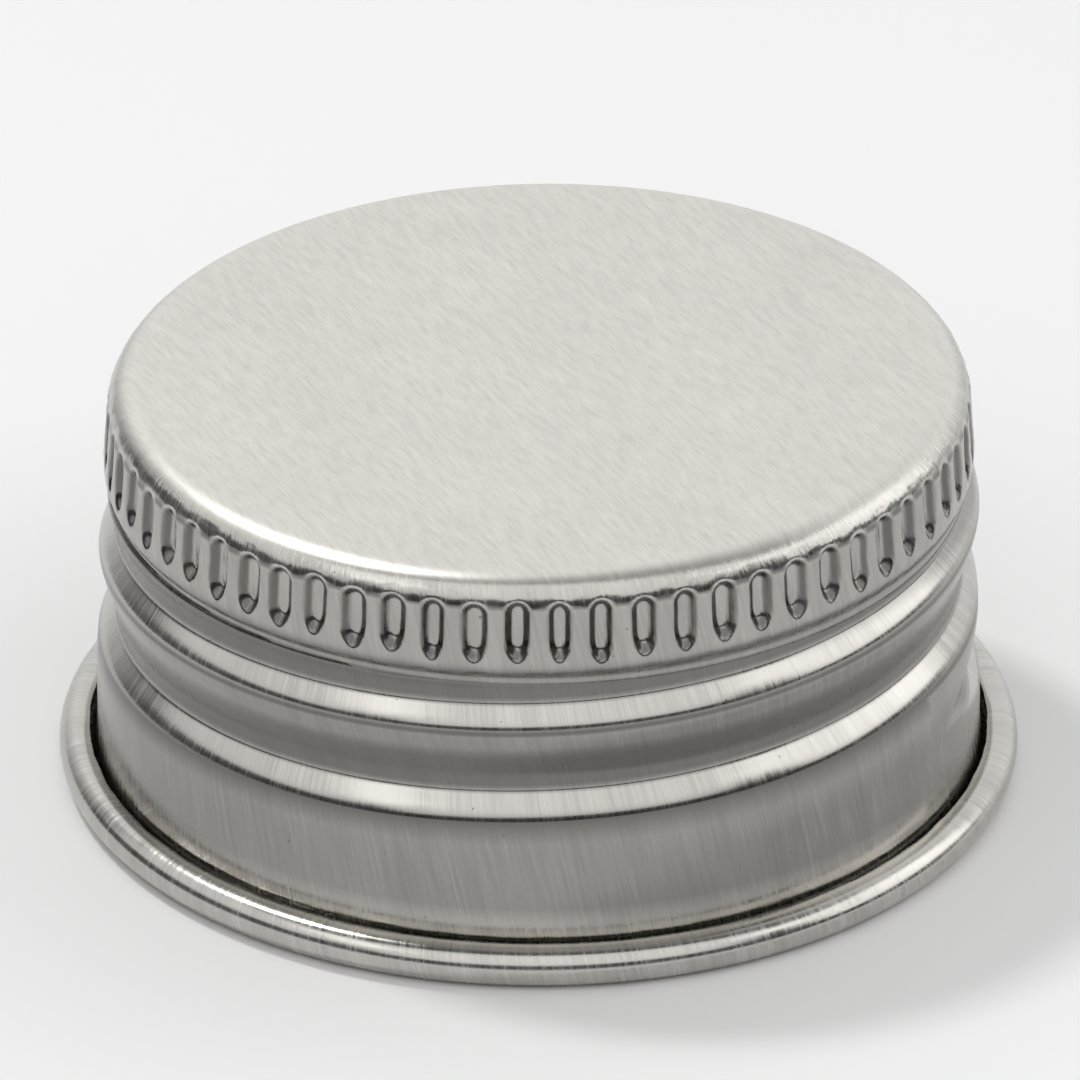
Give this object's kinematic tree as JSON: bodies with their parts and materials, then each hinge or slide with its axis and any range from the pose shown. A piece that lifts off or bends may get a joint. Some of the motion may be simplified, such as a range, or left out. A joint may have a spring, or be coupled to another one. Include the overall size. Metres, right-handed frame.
{
  "type": "bottle cap",
  "caption": "Round aluminium screw cap with a rounded flat top, knurled band, rolled right-hand thread, plain skirt and outward curled rim, holding a foam liner.",
  "frame": {"origin": "on the axis, at the plane that the curled rim stands on", "axes": "+Z along the axis, from the open mouth towards the closed top; the front of the picture is the -Y side"},
  "size_m": [0.0422, 0.0422, 0.019],
  "materials": {
    "shell_metal": "bare drawn sheet with a fine brushed grain",
    "liner_foam": "smooth closed-cell foam"
  },
  "bodies": {
    "root": {"cap_shell": "shell_metal", "liner": "liner_foam"}
  },
  "joints": []
}
